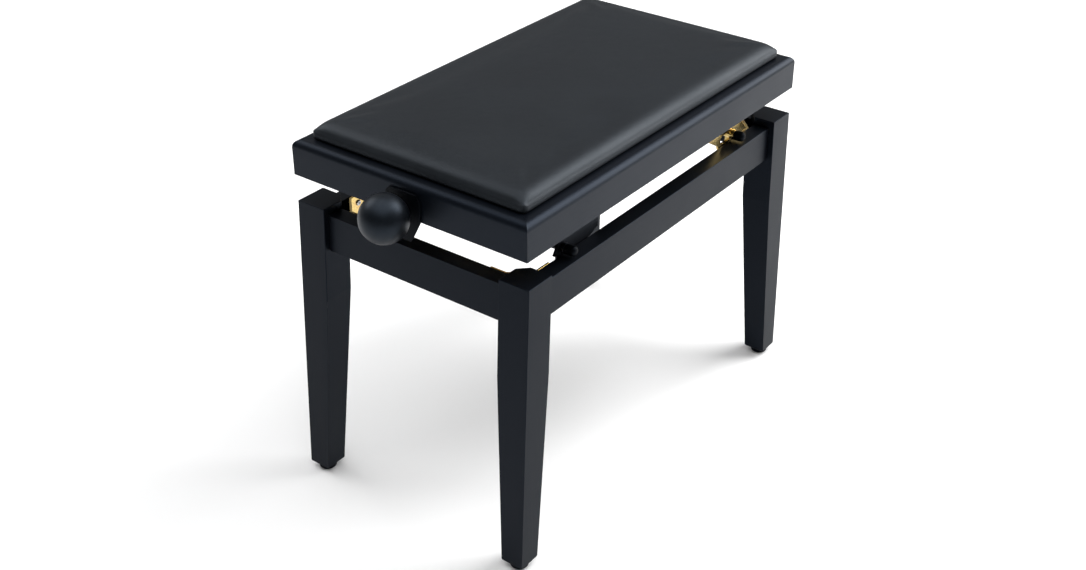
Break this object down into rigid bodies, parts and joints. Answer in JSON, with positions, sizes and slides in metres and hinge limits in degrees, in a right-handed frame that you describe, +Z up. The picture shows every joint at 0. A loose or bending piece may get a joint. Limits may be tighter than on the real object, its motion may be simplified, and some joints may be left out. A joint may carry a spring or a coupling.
{
  "type": "piano bench",
  "caption": "Height-adjustable padded bench: black wooden base on four tapered legs, scissor lift with a long screw, and a ball knob at one end.",
  "frame": {"origin": "on the floor, under the middle of the bench's bounding box, which reaches past the seat at the knob end", "axes": "+X along the seat away from the knob, +Y across the seat towards the back, +Z up"},
  "size_m": [0.6338, 0.3346, 0.474],
  "materials": {
    "black_lacquer": "black satin lacquer over wood, faint grain",
    "black_vinyl": "black smooth leatherette, soft sheen",
    "pad_lining": "black lining over thin board",
    "plywood": "black-stained plywood, open grain",
    "black_plastic": "moulded black, fine texture",
    "knob_plastic": "satin gloss phenolic ball",
    "black_steel": "smooth black paint on pressed steel",
    "yellow_zinc": "yellow-passivated zinc plate on pressed steel",
    "bright_zinc": "bright zinc plate"
  },
  "bodies": {
    "base": {"leg_front_left": "black_lacquer", "leg_front_right": "black_lacquer", "leg_back_left": "black_lacquer", "leg_back_right": "black_lacquer", "glide_front_left": "black_plastic", "glide_front_right": "black_plastic", "glide_back_left": "black_plastic", "glide_back_right": "black_plastic", "corner_brace_front_left": "yellow_zinc", "corner_brace_front_right": "yellow_zinc", "corner_brace_back_left": "yellow_zinc", "corner_brace_back_right": "yellow_zinc", "leg_bolt_front_left": "bright_zinc", "leg_bolt_front_right": "bright_zinc", "leg_bolt_back_left": "bright_zinc", "leg_bolt_back_right": "bright_zinc", "rail_front": "black_lacquer", "rail_back": "black_lacquer", "rail_left": "black_lacquer", "rail_right": "black_lacquer", "base_plate_front_left": "black_steel", "base_plate_front_right": "yellow_zinc", "base_plate_back_left": "black_steel", "base_plate_back_right": "yellow_zinc", "fixed_rod": "black_steel", "fixed_rod_cap_front": "black_plastic", "fixed_rod_cap_back": "black_plastic", "fixed_rod_washer_front": "black_steel", "fixed_rod_washer_back": "black_steel"},
    "seat": {"seat_rail_front": "black_lacquer", "seat_rail_back": "black_lacquer", "seat_rail_left": "black_lacquer", "seat_rail_right": "black_lacquer", "seat_panel": "plywood", "pad_board": "pad_lining", "cushion": "black_vinyl", "thrust_crossbar": "yellow_zinc", "screw_bush": "black_plastic", "bearing_plate": "black_plastic", "seat_bracket_front_left": "black_steel", "seat_bracket_front_right": "yellow_zinc", "seat_bracket_back_left": "black_steel", "seat_bracket_back_right": "yellow_zinc"},
    "outer_links": {"outer_link_front": "black_steel", "outer_link_back": "black_steel", "centre_pin_front": "bright_zinc", "centre_pin_back": "bright_zinc"},
    "inner_links": {"inner_link_front": "black_steel", "inner_link_back": "black_steel", "sliding_rod": "yellow_zinc", "sliding_rod_cap_front": "black_plastic", "sliding_rod_cap_back": "black_plastic", "sliding_rod_washer_front": "yellow_zinc", "sliding_rod_washer_back": "yellow_zinc"},
    "nut_crossbar": {"nut_crossbar": "yellow_zinc"},
    "screw": {"lift_screw": "bright_zinc", "collar_outer": "bright_zinc", "collar_inner": "bright_zinc", "knob": "knob_plastic", "knob_insert": "bright_zinc"}
  },
  "joints": [
    {"name": "seat_lift", "type": "slide", "parent": "base", "child": "seat", "axis": [0, 0, 1], "range_m": [-0.027, 0.075]},
    {"name": "outer_links_swing", "type": "hinge", "parent": "base", "child": "outer_links", "pos_m": [-0.15736, 0, 0.3715], "axis": [0, -1, 0], "range_deg": [-4.55, 12.45]},
    {"name": "inner_links_swing", "type": "hinge", "parent": "outer_links", "child": "inner_links", "pos_m": [0.02264, 0, 0.395], "axis": [0, 1, 0], "range_deg": [-9, 24.81]},
    {"name": "nut_crossbar_level", "type": "hinge", "parent": "outer_links", "child": "nut_crossbar", "pos_m": [0.20264, 0, 0.4185], "axis": [0, 1, 0], "range_deg": [-4.55, 12.45]},
    {"name": "screw_turn", "type": "hinge", "parent": "seat", "child": "screw", "pos_m": [-0.28886, 0, 0.4185], "axis": [1, 0, 0], "range_deg": [-666.3, 1850.66]}
  ],
  "couplings": [
    {"joint": "outer_links_swing", "follows": "seat_lift", "rad_per_m": 2.8187},
    {"joint": "inner_links_swing", "follows": "seat_lift", "rad_per_m": 5.6374},
    {"joint": "nut_crossbar_level", "follows": "seat_lift", "rad_per_m": 2.8187},
    {"joint": "screw_turn", "follows": "seat_lift", "rad_per_m": 422.2}
  ]
}
